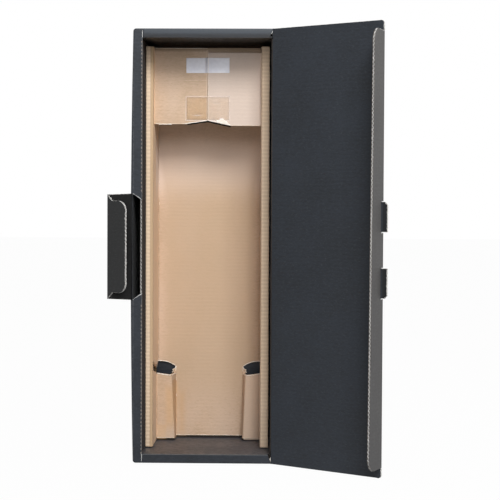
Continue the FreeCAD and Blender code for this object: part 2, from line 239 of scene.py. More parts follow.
# washboard: the flutes show through the liner as faint level lines
def fluteLines():
    tree, entry, leave = newGroup(
        "fluteLines", (("Vector", "Vector", None), ("Pitch", "Float", 0.0034)), (("Line", "Float"),))
    place = entry.outputs["Vector"]
    upward = newNode(tree, "ShaderNodeSeparateXYZ", {0: place}).outputs["Z"]
    wander = mathNode(tree, "MULTIPLY", noiseNode(tree, place, 55.0, 1.0), 0.5)
    turns = mathNode(tree, "ADD", mathNode(tree, "DIVIDE", upward, entry.outputs["Pitch"]), wander)
    wave = mathNode(tree, "SINE", mathNode(tree, "MULTIPLY", turns, 2 * math.pi))
    strength = rangeNode(tree, noiseNode(tree, place, 38.0, 1.0), 0.35, 0.65, 0.35, 1.0)
    wave = mathNode(tree, "MULTIPLY", wave, strength)
    plug(tree, mathNode(tree, "MULTIPLY_ADD", wave, 0.5, 0.5), leave.inputs["Line"])
    return tree


# a mask along a straight crease, broken up by the paper: for worn folds, and for painted shade and highlight along
# creases
def foldWearAndShading():
    tree, entry, leave = newGroup(
        "foldWearAndShading",
        (("Vector", "Vector", None), ("Place", "Vector", None), ("Across", "Vector", None),
         ("Width", "Float", 0.0006), ("Break", "Float", 0.5)),
        (("Mask", "Float"),))
    place = entry.outputs["Vector"]
    off = vectorNode(tree, "SUBTRACT", place, entry.outputs["Place"])
    off = vectorNode(tree, "LENGTH", vectorNode(tree, "MULTIPLY", off, entry.outputs["Across"]))
    near = rangeNode(tree, off, entry.outputs["Width"], 0.0)
    torn = rangeNode(tree, noiseNode(tree, place, 420.0, 3.0), 0.38, 0.62)
    keep = mathNode(tree, "SUBTRACT", 1.0, mathNode(tree, "MULTIPLY", entry.outputs["Break"], torn))
    plug(tree, mathNode(tree, "MULTIPLY", near, keep), leave.inputs["Mask"])
    return tree


groups = {"paperFibre": paperFibre(), "fluteLines": fluteLines(), "foldWearAndShading": foldWearAndShading()}


def useGroup(tree, name, **values):
    return newNode(tree, "ShaderNodeGroup", values, node_tree=groups[name]).outputs


# mask of a box between two corners in millimetres, with soft sides: one width, or one for each axis
def boxMask(tree, place, low, high, soft):
    widths = Vector(soft if isinstance(soft, tuple) else (soft, soft, soft)) * mm
    above = vectorNode(tree, "SUBTRACT", place, Vector(low) * mm)
    below = vectorNode(tree, "SUBTRACT", Vector(high) * mm, place)
    depths = vectorNode(tree, "DIVIDE", vectorNode(tree, "MINIMUM", above, below), widths)
    apart = newNode(tree, "ShaderNodeSeparateXYZ", {0: depths}).outputs
    depth = mathNode(tree, "MINIMUM", apart[0], mathNode(tree, "MINIMUM", apart[1], apart[2]))
    return rangeNode(tree, depth, 0.0, 1.0)


# a tinted area of a board in millimetres, which paints light and shade onto it; a board can have one matt area, which
# takes its gloss away
def paintedLightArea(low, high, soft, share, tone, matt=False):
    return {"low": low, "high": high, "soft": soft, "share": share, "tone": tone, "matt": matt}


# a crease mark through a place, measured across it and kept within a box where one is given: worn creases, and painted
# shade and highlight along creases
def crease(place, across, width, broken, share, tone, within=None):
    return {"place": place, "across": across, "width": width, "broken": broken, "share": share,
            "tone": tone, "within": within, "withinSoft": 0.3}


def boardMaterial(settings):
    material, tree, shader = newMaterial(settings["name"])
    place = objectPlace(tree)
    paper = useGroup(tree, "paperFibre", Vector=place, Cloud=settings["cloud"], Fibre=settings["fibre"])
    flute = useGroup(tree, "fluteLines", Vector=place)["Line"]
    colour = mixColour(tree, paper["Mottle"], settings["shade"], settings["tone"])
    if "stain" in settings:
        wide = vectorNode(tree, "MULTIPLY", place, (1.6, 1.6, 0.6))
        cloud = rangeNode(tree, noiseNode(tree, wide, 16.0, 3.0), 0.42, 0.66, 0.0, settings["stainShare"])
        colour = mixColour(tree, cloud, colour, settings["stain"])
    flecks = mathNode(tree, "MULTIPLY", paper["Fleck"], settings["fleckShare"])
    colour = mixColour(tree, flecks, colour, settings["fleck"])
    lines = mathNode(tree, "MULTIPLY", flute, settings["fluteShare"])
    colour = mixColour(tree, lines, colour, settings["fluteTone"])
    for foldMark in settings.get("folds", ()):
        mask = useGroup(tree, "foldWearAndShading", Vector=place, Place=Vector(foldMark["place"]) * mm, Across=foldMark["across"],
                        Width=foldMark["width"] * mm, Break=foldMark["broken"])["Mask"]
        if foldMark["within"]:
            mask = mathNode(tree, "MULTIPLY", mask, boxMask(tree, place, *foldMark["within"], foldMark["withinSoft"]))
        colour = mixColour(tree, mathNode(tree, "MULTIPLY", mask, foldMark["share"]), colour, foldMark["tone"])
    gloss = settings["specular"]
    # painted light and shade, area by area
    for patch in settings.get("patches", ()):
        mask = boxMask(tree, place, patch["low"], patch["high"], patch["soft"])
        if patch["matt"]:
            gloss = mathNode(tree, "MULTIPLY_ADD", mask, -settings["specular"], settings["specular"])
        colour = mixColour(tree, mathNode(tree, "MULTIPLY", mask, patch["share"]), colour, patch["tone"])
    plugAll(tree, shader, {
        "Base Color": colour,
        "Roughness": rangeNode(tree, paper["Mottle"], 0.0, 1.0, *settings["roughness"]),
        "Specular IOR Level": gloss,
        "Sheen Weight": settings["sheen"],
        "Sheen Roughness": 0.35,
        "Sheen Tint": settings.get("sheenTint", (1, 1, 1)),
    })
    height = mathNode(tree, "ADD", mathNode(tree, "MULTIPLY", flute, settings["fluteHeight"]),
                      mathNode(tree, "MULTIPLY", paper["Height"], settings["fibreHeight"]))
    addBump(tree, shader, height, 0.001, 0.6)
    return material


# blue-black lined board of the outer box
inkWear = (0.15, 0.155, 0.16)
blackBoard = {
    "name": "blackBoard",
    "cloud": 24.0, "fibre": 800.0,
    "shade": (0.012, 0.0145, 0.0185),
    "tone": (0.022, 0.0265, 0.0345),
    "fleck": (0.040, 0.045, 0.052), "fleckShare": 0.5,
    "fluteTone": (0.030, 0.035, 0.044), "fluteShare": 0.14,
    "roughness": (0.50, 0.62), "specular": 0.28, "sheen": 0.14,
    "fluteHeight": 0.06, "fibreHeight": 0.05,
}
lidBoard = dict(blackBoard, name="lidBoard", sheen=0.04, patches=(
    # painted shade on the lid's tabs beside the tuck flap's fold
    paintedLightArea((151.3, -126, 140), (158, -108, 240), 0.5, 0.7, (0.006, 0.006, 0.006)),
))
tuckBoard = dict(
    blackBoard, name="tuckBoard", shade=(0.0135, 0.0135, 0.0145), tone=(0.0245, 0.0245, 0.0265),
    sheenTint=(1.0, 0.90, 0.78), fluteTone=(0.034, 0.034, 0.036))
# the lock flap: a much darker, neutral copy of the black board, which paints its shade
lockBoard = dict(
    blackBoard, name="lockBoard", shade=(0.003, 0.003, 0.003), tone=(0.006, 0.006, 0.006), sheen=0.0,
    specular=0.14, fluteTone=(0.008, 0.008, 0.008), fleck=(0.016, 0.016, 0.016))
# the lock flap's tip: a darker, neutral copy of the black board, which paints its shade
tipBoard = dict(
    blackBoard, name="tipBoard", shade=(0.010, 0.0102, 0.0105), tone=(0.018, 0.0182, 0.0186), sheen=0.0,
    fluteTone=(0.022, 0.022, 0.022), fleck=(0.040, 0.040, 0.040))
trayBoard = dict(blackBoard, name="trayBoard", sheen=0.03, roughness=(0.36, 0.50), patches=(
    # painted shade inside the hollow left wall, behind the lock flap's cut-out
    paintedLightArea((-66, -46.2, 3), (-55.3, 50, 377), 0.3, 0.85, (0.008, 0.008, 0.008)),
    # painted brown shade, the kraft's bounce light, on the left wall's inner face behind the rim; this area also takes
    # the gloss away
    paintedLightArea((-54.3, -45.5, 3), (-53.2, -10, 377), 0.3, 0.9, (0.026, 0.016, 0.010), True),
    # painted shade under the foot of the cradle's back panel and its two seats
    paintedLightArea((-30.5, 41.0, 5), (33.7, 50, 8.5), 0.5, 0.95, (0.002, 0.002, 0.002)),
    paintedLightArea((-50, 24.5, 5), (-29.0, 32, 8.5), 0.5, 0.95, (0.002, 0.002, 0.002)),
    paintedLightArea((32.0, 24.5, 5), (52, 32, 8.5), 0.5, 0.95, (0.002, 0.002, 0.002)),
    # painted brown bounce light on the left wall's inner face, seen through the lens hole's end
    paintedLightArea((-54.5, 10, 55), (-53.2, 48, 90), 1.0, 0.9, (0.16, 0.105, 0.062)),
    # painted brown bounce light on the right wall's inner face, which is in shade
    paintedLightArea((59.3, -47.6, 3), (60.3, 0, 377), 0.3, 0.8, (0.105, 0.070, 0.048)),
    # painted shade on the underside of the top panel
    paintedLightArea((-54, -47.2, 370.5), (60, 50, 374), 0.6, 0.9, (0.004, 0.004, 0.004)),
    # painted light on the box's floor inside
    paintedLightArea((-54, -47.6, 5), (60, 50, 9), 0.6, 0.85, (0.046, 0.048, 0.058)),
    # painted highlight on the top of the top rim's fold, and painted shade below it
    paintedLightArea((-53.5, -50, 374.5), (61, -46, 383), 3.0, 0.9, (0.056, 0.066, 0.078)),
    paintedLightArea((-53.5, -50, 368), (61, -46, 376), 3.0, 0.7, (0.008, 0.008, 0.009)),
), folds=(
    crease((-53.6, -48.0, 0), (1, 1, 0), 0.55, 0.75, 0.75, inkWear),
    crease((0, -48.0, 8.0), (0, 1, 1), 0.7, 0.3, 0.95, inkWear, ((-53, -50, 0), (60, -40, 12))),
    crease((-61.2, -47.7, 0), (1, 1, 0), 0.8, 0.9, 0.4, inkWear),
    crease((61.2, -47.8, 0), (1, 1, 0), 0.8, 0.8, 0.5, inkWear),
))

# brown kraft board of the cradle
kraftBoard = {
    "name": "kraftBoard",
    "cloud": 34.0, "fibre": 700.0,
    "shade": (0.512, 0.362, 0.240),
    "tone": (0.622, 0.450, 0.318),
    "fleck": (0.44, 0.29, 0.18), "fleckShare": 0.4,
    "stain": (0.66, 0.50, 0.385), "stainShare": 0.55,
    "fluteTone": (0.75, 0.56, 0.41), "fluteShare": 0.08,
    "roughness": (0.60, 0.78), "specular": 0.3, "sheen": 0.05,
    "fluteHeight": 0.06, "fibreHeight": 0.09,
}
# painted shade for creases and inside corners
creaseShade = (0.36, 0.235, 0.135)
creasePale = (0.83, 0.68, 0.52)
cradleBoard = dict(kraftBoard, name="cradleBoard", folds=(
    # painted shade in the inside corners where the back panel meets the side walls
    crease((-46.4, 44.0, 0), (1, 1, 0), 1.5, 0.5, 0.6, creaseShade),
    crease((49.3, 44.0, 0), (1, 1, 0), 1.5, 0.5, 0.6, creaseShade),
    crease((-46.7, -13.6, 0), (1, 1, 0), 1.0, 0.5, 0.7, creasePale),
    crease((49.6, -13.6, 0), (1, 1, 0), 1.0, 0.5, 0.7, creasePale),
    # painted shade in the corner where the left seat meets the wall
    crease((-46.1, 0, 0), (1, 0, 0), 0.9, 0.4, 0.7, creaseShade, ((-47, 25, 22), (-45, 31, 50))),
    # a level crease across the bridge, drawn as painted highlight above and painted shade below
    crease((0, 0, 338.6), (0, 0, 1), 0.5, 0.6, 0.5, creasePale, ((-20, -6, 330), (23, -2, 345))),
    crease((0, 0, 337.7), (0, 0, 1), 0.5, 0.6, 0.3, creaseShade, ((-20, -6, 330), (23, -2, 345))),
), patches=(
    # painted light on the left wall's inner face, warmer and brighter
    paintedLightArea((-49.6, -12.4, 0), (-46.3, 44, 380), 0.15, 0.75, (0.84, 0.585, 0.365)),
    # painted shade on the left wall where it folds from the rim
    paintedLightArea((-49.6, -15, 0), (-46.0, -11.6, 380), 0.4, 0.9, (0.54, 0.375, 0.225)),
    # painted shade at the end of the left lens hole
    paintedLightArea((-48.6, 20, 69.5), (-46.0, 44.2, 79.6), 0.8, 0.85, (0.17, 0.115, 0.07)),
    # painted shade along the foot of the back panel and the seats
    paintedLightArea((-48, 26.0, 8), (52, 46, 10.2), 0.3, 0.95, (0.012, 0.009, 0.007)),
    # painted light in the shade below the bridge, lighter and pinker high on the back panel, then painted shade,
    # darker and more orange, lower down
    paintedLightArea((-60, 15, 222), (64, 75, 304), (1.0, 1.0, 34.0), 0.8, (0.75, 0.60, 0.50)),
    paintedLightArea((-45.8, 42, 10), (49.2, 70, 285), (12.0, 1.0, 70.0), 0.75, (0.525, 0.378, 0.250)),
    # painted shadow beside the torn fold at the left seat's right side
    paintedLightArea((-31, 42, 4), (-18, 47, 58), (9.0, 0.5, 18.0), 0.6, (0.60, 0.38, 0.20)),
    # painted light on the right wall's inner face
    paintedLightArea((48.0, -13, 0), (52, 43, 380), 1.0, 0.75, (0.88, 0.66, 0.47)),
    # painted shade under the top of the box, along the cradle's top
    paintedLightArea((-60, -6, 363.5), (60, 50, 372), 4.0, 0.8, (0.22, 0.15, 0.10)),
    # painted shade with a warm cast from light bounced between the kraft walls, on the left seat's return face and in
    # its corners
    paintedLightArea((-33.6, 28.2, 6), (-29, 46, 64), 1.0, 0.75, (0.52, 0.31, 0.15)),
    paintedLightArea((-41, 24, 14), (-26, 48, 64), (6.0, 2.0, 14.0), 0.45, (0.66, 0.40, 0.19)),
    paintedLightArea((-48, 24, 6), (-36, 30, 24), 4.0, 0.45, (0.66, 0.42, 0.21)),
    # painted light on the right seat
    paintedLightArea((34, 26, 0), (50, 46, 72), 1.0, 0.6, (0.70, 0.54, 0.42)),
    # painted glare on the bridge's front flap, paler
    paintedLightArea((1.2, -5.2, 290), (60, -4.4, 372), 0.2, 0.6, (0.70, 0.60, 0.545)),
    # painted light over the shadow at the front flap's edge
    paintedLightArea((-0.2, -5.3, 300), (2.0, -2.6, 366), 0.5, 0.5, (0.90, 0.74, 0.60)),
))

# raw cut paper: fuzzy and a little dirty; some of these finishes are painted shade in cuts and gaps, as noted at each
def cutPaper(name, cloud, shade, tone, fleck):
    material, tree, shader = newMaterial(name)
    paper = useGroup(tree, "paperFibre", Vector=objectPlace(tree), Cloud=cloud, Fibre=1500.0)
    colour = mixColour(tree, paper["Mottle"], shade, tone)
    colour = mixColour(tree, mathNode(tree, "MULTIPLY", paper["Fleck"], 0.6), colour, fleck)
    rough = rangeNode(tree, paper["Height"], 0.3, 0.7, 0.75, 0.95)
    plugAll(tree, shader, {"Base Color": colour, "Roughness": rough, "Specular IOR Level": 0.2})
    addBump(tree, shader, paper["Height"], 0.0003)
    return material


# cut papers: cloud scale, shade, tone and fleck
cutSettings = {
    "greyEdge": (160.0, (0.50, 0.495, 0.485), (0.86, 0.855, 0.84), (0.95, 0.95, 0.94)),
    "greyCore": (160.0, (0.30, 0.285, 0.265), (0.56, 0.54, 0.51), (0.78, 0.76, 0.73)),
    # cut edge paper in painted shade: the flute channels between the liners, and liners deep in a cut-out
    "darkCore": (160.0, (0.05, 0.045, 0.04), (0.09, 0.08, 0.07), (0.12, 0.11, 0.10)),
    "wornInk": (300.0, (0.10, 0.09, 0.085), (0.27, 0.235, 0.205), (0.42, 0.38, 0.34)),
    # a cut edge in painted shade
    "dimEdge": (300.0, (0.028, 0.023, 0.020), (0.062, 0.052, 0.046), (0.10, 0.09, 0.08)),
    "deepShade": (160.0, (0.004, 0.003, 0.002), (0.009, 0.007, 0.005), (0.012, 0.010, 0.008)),
    "kraftShade": (160.0, (0.17, 0.125, 0.075), (0.24, 0.18, 0.11), (0.30, 0.23, 0.15)),
    "kraftEdge": (160.0, (0.66, 0.52, 0.38), (0.86, 0.76, 0.64), (0.95, 0.90, 0.83)),
    "paleTear": (120.0, (0.84, 0.74, 0.62), (0.95, 0.90, 0.83), (0.97, 0.95, 0.92)),
}
finishes = {name: cutPaper(name, *values) for name, values in cutSettings.items()}
for board in (trayBoard, lidBoard, tuckBoard, lockBoard, tipBoard, kraftBoard, cradleBoard):
    finishes[board["name"]] = boardMaterial(board)


def dressNode(name, finish):
    mesh = nodes[name].data
    mesh.materials.clear()
    mesh.materials.append(finishes[finish])


dressNode("outer_box", "trayBoard")
dressNode("bottle_cradle", "cradleBoard")
print("bottle box: board finishes made")


def paintOut(tree, entry, leave, geometry):
    paint = newNode(tree, "GeometryNodeSetMaterial", {"Geometry": geometry, "Material": entry.outputs["Finish"]})
    plug(tree, paint.outputs[0], leave.inputs[0])


# Geometry Nodes: one paper layer of a cut edge, wavy where it crosses the flutes
def fluteEdgeTree():
    tree, entry, leave = newGroup(
        "fluteEdge",
        (("Geometry", "Geometry", None), ("Pitch", "Float", 0.0034), ("Swing", "Float", 0.0005),
         ("Shift", "Float", 0.0), ("Reach", "Float", 0.001), ("Paper", "Float", 0.0002), ("Ragged", "Float", 0.0001),
         ("Fray", "Float", 0.0), ("Step", "Float", 0.0004), ("Finish", "Material", None)),
        (("Geometry", "Geometry"),), "GeometryNodeTree")
    given = entry.outputs

    def named(label):
        node = newNode(tree, "GeometryNodeInputNamedAttribute", {"Name": label}, data_type="FLOAT_VECTOR")
        return node.outputs["Attribute"]

    curve = newNode(tree, "GeometryNodeMeshToCurve", {0: given["Geometry"]}).outputs[0]
    even = newNode(tree, "GeometryNodeResampleCurve", {"Curve": curve, "Length": given["Step"]}, mode="LENGTH")
    wire = newNode(tree, "GeometryNodeCurveToMesh", {"Curve": even.outputs[0]})
    spot = newNode(tree, "GeometryNodeInputPosition", {}).outputs[0]
    upward = newNode(tree, "ShaderNodeSeparateXYZ", {0: spot}).outputs["Z"]
    turns = mathNode(tree, "DIVIDE", upward, given["Pitch"])
    wave = mathNode(tree, "SINE", mathNode(tree, "MULTIPLY", turns, 2 * math.pi))
    wave = mathNode(tree, "MULTIPLY_ADD", wave, given["Swing"], given["Shift"])
    rough = mathNode(tree, "SUBTRACT", noiseNode(tree, spot, 700.0, 3.0), 0.5)
    tear = mathNode(tree, "MULTIPLY", mathNode(tree, "MULTIPLY", rough, given["Ragged"]), 2.0)
    move = vectorNode(tree, "ADD", scaleNode(tree, named("across"), wave), scaleNode(tree, named("inward"), tear))
    moved = newNode(tree, "GeometryNodeSetPosition", {"Geometry": wire.outputs[0], "Offset": move})
    spread = mathNode(tree, "SUBTRACT", noiseNode(tree, spot, 260.0), 0.5)
    uneven = mathNode(tree, "MULTIPLY", mathNode(tree, "MULTIPLY", spread, given["Fray"]), 4.0)
    depth = scaleNode(tree, named("inward"), mathNode(tree, "ADD", given["Reach"], uneven))
    band = newNode(tree, "GeometryNodeExtrudeMesh", {"Mesh": moved.outputs[0], "Offset": depth}, mode="EDGES")
    thick = newNode(tree, "GeometryNodeExtrudeMesh", {
        "Mesh": band.outputs["Mesh"], "Offset Scale": given["Paper"], "Individual": False}, mode="FACES")
    flip = newNode(tree, "GeometryNodeFlipFaces", {"Mesh": band.outputs["Mesh"]})
    join = newNode(tree, "GeometryNodeJoinGeometry", {0: flip.outputs[0]})
    plug(tree, thick.outputs["Mesh"], join.inputs[0])
    merge = newNode(tree, "GeometryNodeMergeByDistance", {"Geometry": join.outputs[0], "Distance": 1e-6})
    real = newNode(tree, "GeometryNodeRealizeInstances", {0: merge.outputs[0]})
    paintOut(tree, entry, leave, real.outputs[0])
    return tree


# the mesh an object gives when its modifiers have run; the object goes
def settledMesh(holder):
    bpy.context.view_layer.update()
    made = bpy.data.meshes.new_from_object(holder.evaluated_get(bpy.context.evaluated_depsgraph_get()))
    bpy.data.objects.remove(holder)
    return made


def runNodes(mesh, tree, values):
    holder = bpy.data.objects.new("holder", mesh)
    scene.collection.objects.link(holder)
    modifier = holder.modifiers.new("nodes", "NODES")
    modifier.node_group = tree
    for item in tree.interface.items_tree:
        if item.in_out == "INPUT" and item.name in values:
            modifier[item.identifier] = values[item.name]
    return settledMesh(holder)


def meshFrom(bm, name):
    mesh = bpy.data.meshes.new(name)
    bm.to_mesh(mesh)
    bm.free()
    return mesh


edgeTree = fluteEdgeTree()


# paths: lists of (point, across, inward) in metres; closed loops repeat no point
def pathMesh(paths, closed):
    mesh = bpy.data.meshes.new("edgePath")
    points, edges, across, inward = [], [], [], []
    for path in paths:
        first = len(points)
        for point, acrossWay, inwardWay in path:
            points.append(point)
            across.extend(acrossWay)
            inward.extend(inwardWay)
        edges += [(i, i + 1) for i in range(first, len(points) - 1)]
        if closed:
            edges.append((len(points) - 1, first))
    mesh.from_pydata(points, edges, [])
    for label, values in (("across", across), ("inward", inward)):
        attribute = mesh.attributes.new(label, "FLOAT_VECTOR", "POINT")
        attribute.data.foreach_set("vector", values)
    return mesh


# lengths come in millimetres
def paperLayer(paths, closed, finish, **values):
    settings = {name: value * mm for name, value in values.items()}
    settings["Finish"] = finishes[finish]
    return runNodes(pathMesh(paths, closed), edgeTree, settings)


class Piece:
    # collects meshes into one object with its own finishes
    def __init__(self, name, finishNames):
        self.name = name
        self.finishNames = finishNames
        self.bm = bmesh.new()

    # the faces take the finish that stands at their own index, or the last one
    def add(self, mesh, *wanted):
        start = len(self.bm.faces)
        self.bm.from_mesh(mesh)
        self.bm.faces.ensure_lookup_table()
        for face in self.bm.faces[start:]:
            finish = wanted[min(face.material_index, len(wanted) - 1)]
            face.material_index = self.finishNames.index(finish)
        bpy.data.meshes.remove(mesh)

    def finish(self, body, slot, replaces=()):
        loose = [v for v in self.bm.verts if not v.link_faces]
        bmesh.ops.delete(self.bm, geom=loose, context="VERTS")
        mesh = meshFrom(self.bm, self.name)
        for label in ("across", "inward"):
            if label in mesh.attributes:
                mesh.attributes.remove(mesh.attributes[label])
        for name in self.finishNames:
            mesh.materials.append(finishes[name])
        piece = bpy.data.objects.new(self.name, mesh)
        scene.collection.objects.link(piece)
        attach(piece, body)
        if replaces:
            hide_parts(*replaces)
        print("bottle box:", self.name, len(mesh.polygons), "faces")


# corrugated sheet in millimetres: a panel lies in u (away from its fold) and z, and is turned about the fold line
sheetSettings = {
    "board": 1.7, "liner": 0.32, "medium": 0.22, "pitch": 3.4,
    "coreInset": 1.3, "coreGrow": 0.02, "coreOverlap": 0.1, "coreRagged": 0.12, "edgeNear": 0.05,
    "cutStep": 0.6, "cutWave": 0.30, "cutRough": 0.24,
    "foldSteps": 10, "twistLevels": 24, "linerStep": 0.6, "mediumStep": 0.42, "lipStep": 0.5, "lipPaper": 0.05,
}


def panelAngle(panel, z):
    if "twist" not in panel:
        return math.radians(panel["angle"])
    low, high, atLow, atHigh = panel["twist"]
    share = min(1, max(0, (z - low) / (high - low)))
    return math.radians(panel["angle"] + atLow + (atHigh - atLow) * share)


def panelWays(panel, z):
    angle = panelAngle(panel, z)
    return Vector((math.cos(angle), math.sin(angle), 0)), Vector((-math.sin(angle), math.cos(angle), 0))


def onPanel(panel, u, n, z):
    along, across = panelWays(panel, z)
    return (Vector((*panel["fold"], z)) + along * u + across * n) * mm


def inset(loop, depth):
    made = []
    for i, here in enumerate(loop):
        before, after = Vector(loop[i - 1]), Vector(loop[(i + 1) % len(loop)])
        here = Vector(here)
        first, second = (here - before).normalized(), (after - here).normalized()
        left, right = Vector((-first.y, first.x)), Vector((-second.y, second.x))
        half = (left + right).normalized()
        made.append(here + half * (depth / max(0.35, half.dot(left))))
    return made


def inwardWays(loop):
    return [(b - Vector(a)).normalized() for a, b in zip(loop, inset(loop, 1.0))]


def flatPlate(loops, low, high):
    curve = bpy.data.curves.new("plate", "CURVE")
    curve.dimensions = "2D"
    curve.fill_mode = "BOTH"
    curve.extrude = (high - low) / 2
    for loop in loops:
        spline = curve.splines.new("POLY")
        spline.points.add(len(loop) - 1)
        for point, (u, z) in zip(spline.points, loop):
            point.co = (u, z, 0, 1)
        spline.use_cyclic_u = True
    holder = bpy.data.objects.new("plate", curve)
    scene.collection.objects.link(holder)
    mesh = settledMesh(holder)
    mesh.transform(Matrix.Translation((0, 0, (low + high) / 2)))
    bm = bmesh.new()
    bm.from_mesh(mesh)
    bpy.data.meshes.remove(mesh)
    bmesh.ops.remove_doubles(bm, verts=bm.verts, dist=0.001)
    bmesh.ops.recalc_face_normals(bm, faces=bm.faces)
    return bm


def onEdge(u, plainEdges):
    return any(abs(u - edge) < sheetSettings["edgeNear"] for edge in plainEdges)


# faces that look out, and those on plain edges, get index 0; cut faces get 1
def panelPlate(panel, loops, low, high, outside, plainEdges=()):
    bm = flatPlate(loops, low, high)
    if "twist" in panel:
        bottom, top = panel["twist"][:2]
        levels = sheetSettings["twistLevels"]
        for step in range(1, levels):
            cut = bottom + (top - bottom) * step / levels
            geometry = bm.verts[:] + bm.edges[:] + bm.faces[:]
            bmesh.ops.bisect_plane(bm, geom=geometry, plane_co=(0, cut, 0), plane_no=(0, 1, 0))
    for face in bm.faces:
        face.normal_update()
        shown = face.normal.z * outside > 0.5
        folded = abs(face.normal.x) > 0.9 and onEdge(face.calc_center_median().x, plainEdges)
        face.material_index = 0 if shown or folded else 1
    for vert in bm.verts:
        u, z, n = vert.co
        vert.co = onPanel(panel, u, n, z)
    return meshFrom(bm, "plate")


# joins rows of points by smooth faces; closed rows get a flat face from end to start
def smoothRows(bm, rows, closed=False):
    for lower, upper in zip(rows, rows[1:]):
        for i in range(len(lower) - 1):
            bm.faces.new((lower[i], lower[i + 1], upper[i + 1], upper[i])).smooth = True
        if closed:
            bm.faces.new((lower[-1], lower[0], upper[0], upper[-1]))


def foldNose(panel, low, high):
    half = sheetSettings["board"] / 2
    count = sheetSettings["foldSteps"]
    levels = sheetSettings["twistLevels"] if "twist" in panel else 1
    bm = bmesh.new()
    rings = []
    for level in range(levels + 1):
        z = low + (high - low) * level / levels
        ring = []
        for i in range(count + 1):
            turn = math.pi * (0.5 + i / count)
            ring.append(bm.verts.new(onPanel(panel, math.cos(turn) * half, math.sin(turn) * half, z)))
        rings.append(ring)
    smoothRows(bm, rings, True)
    bm.faces.new(rings[0])
    bm.faces.new(rings[-1])
    bmesh.ops.recalc_face_normals(bm, faces=bm.faces)
    return meshFrom(bm, "nose")


# a die-cut edge is never quite straight: the liner gives way a little between the flutes
def roughCut(loop, plainEdges, seed, sizes):
    made = []
    near = sizes["edgeNear"]
    for i, start in enumerate(loop):
        start, end = Vector(start), Vector(loop[(i + 1) % len(loop)])
        plain = any(abs(start.x - u) < near and abs(end.x - u) < near for u in plainEdges)
        count = 1 if plain else max(1, int((end - start).length / sizes["cutStep"]))
        left = Vector((-(end - start).y, (end - start).x)).normalized()
        made.append(start)
        for k in range(1, count):
            point = start.lerp(end, k / count)
            wave = 0.5 + 0.5 * math.sin(2 * math.pi * point.y / sizes["pitch"])
            rough = noise.noise(Vector((point.x * 0.9, point.y * 0.9, seed)))
            calm = min(1, k / 2, (count - k) / 2)
            made.append(point + left * calm * max(0, sizes["cutWave"] * wave + sizes["cutRough"] * (0.4 + rough)))
    return made


def makePanel(panel):
    sizes = sheetSettings
    half = sizes["board"] / 2
    face = panel["finish"]
    liner, medium = panel.get("cutFinish", ("greyEdge", "greyCore"))
    piece = Piece(panel["name"], [face, liner, medium, "darkCore"])
    loops = [panel["outline"]] + panel.get("holes", [])
    plainEdges = panel["plainEdges"]
    for side in (1, -1):
        low, high = sorted((side * half, side * (half - sizes["liner"])))
        cut = [roughCut(loop, plainEdges, 5 * side + i, sizes) for i, loop in enumerate(loops)]
        piece.add(panelPlate(panel, cut, low, high, side, plainEdges), face, liner)
    # the core between the liners is a dark plate, painted shade in the flute channels
    core = [inset(loop, sizes["coreInset"]) for loop in loops]
    limit = half - sizes["liner"] + sizes["coreGrow"]
    piece.add(panelPlate(panel, core, -limit, limit, 1), "darkCore")
    for low, high in panel["noses"]:
        piece.add(foldNose(panel, low, high), face)
    paths = []
    for loop in loops:
        path = []
        for (u, z), way in zip(loop, inwardWays(loop)):
            along, across = panelWays(panel, z)
            path.append((onPanel(panel, u, -sizes["medium"] / 2, z), across, along * way.x + Vector((0, 0, way.y))))
        paths.append(path)
    swing = half - sizes["liner"] - sizes["medium"] / 2
    reach = sizes["coreInset"] + sizes["coreOverlap"]
    piece.add(paperLayer(paths, True, medium, Pitch=sizes["pitch"], Swing=swing, Reach=reach, Paper=sizes["medium"],
                         Ragged=sizes["coreRagged"], Step=sizes["mediumStep"]), medium)
    piece.finish(panel["body"], "box_board", (panel["node"],))


def corner(centre, radius, start, end, steps=8):
    made = []
    for i in range(steps + 1):
        turn = math.radians(start + (end - start) * i / steps)
        made.append((centre[0] + radius * math.cos(turn), centre[1] + radius * math.sin(turn)))
    return made


# lid, its tuck flap, the lock flap and the lock flap's tip
lidFold, lidAngle, lidReach = (60.65, -49.15), -34.4, 109.95
lidPanel = {
    "name": "lidBoard", "node": "lid", "body": "lid", "finish": "lidBoard",
    "fold": lidFold, "angle": lidAngle,
    "noses": ((0.3, 379.7),),
    "plainEdges": (0.0, 108.8),
    "outline": [(0, 0.3)] + corner((107.8, 3.3), 3.0, -90, 0)
    + [(110.8, 8.7), (108.8, 8.7), (108.8, 150.0), (112.7, 150.0), (115.2, 152.5), (115.2, 175.0), (108.8, 175.0),
       (108.8, 205.0), (115.2, 205.0), (115.2, 227.5), (112.7, 230.0), (108.8, 230.0),
       (108.8, 371.3), (110.8, 371.3)]
    + corner((107.8, 376.7), 3.0, 0, 90) + [(0, 379.7)],
    "holes": [[(102.4, 144.35), (102.4, 235.65), (105.8, 235.65), (105.8, 144.35)]],
}
tuckPanel = {
    "name": "tuckBoard", "node": "lid_tuck_flap", "body": "tuck_flap", "finish": "tuckBoard",
    "cutFinish": ("wornInk", "greyEdge"),
    "fold": (lidFold[0] + lidReach * math.cos(math.radians(lidAngle)),
             lidFold[1] + lidReach * math.sin(math.radians(lidAngle))),
    "angle": -113.1, "twist": (9.0, 371.0, -2.5, 2.5),
    "noses": ((9.0, 149.5), (175.5, 204.5), (230.5, 371.0)),
    "plainEdges": (0.0,),
    "outline": [(0, 9.0)] + corner((16.0, 21.0), 12.0, -90, 0, 12) + corner((16.0, 359.0), 12.0, 0, 90, 12)
    + [(0, 371.0), (0, 230.5), (5.75, 230.5), (5.75, 204.5), (0, 204.5), (0, 175.5), (5.75, 175.5), (5.75, 149.5),
       (0, 149.5)],
}
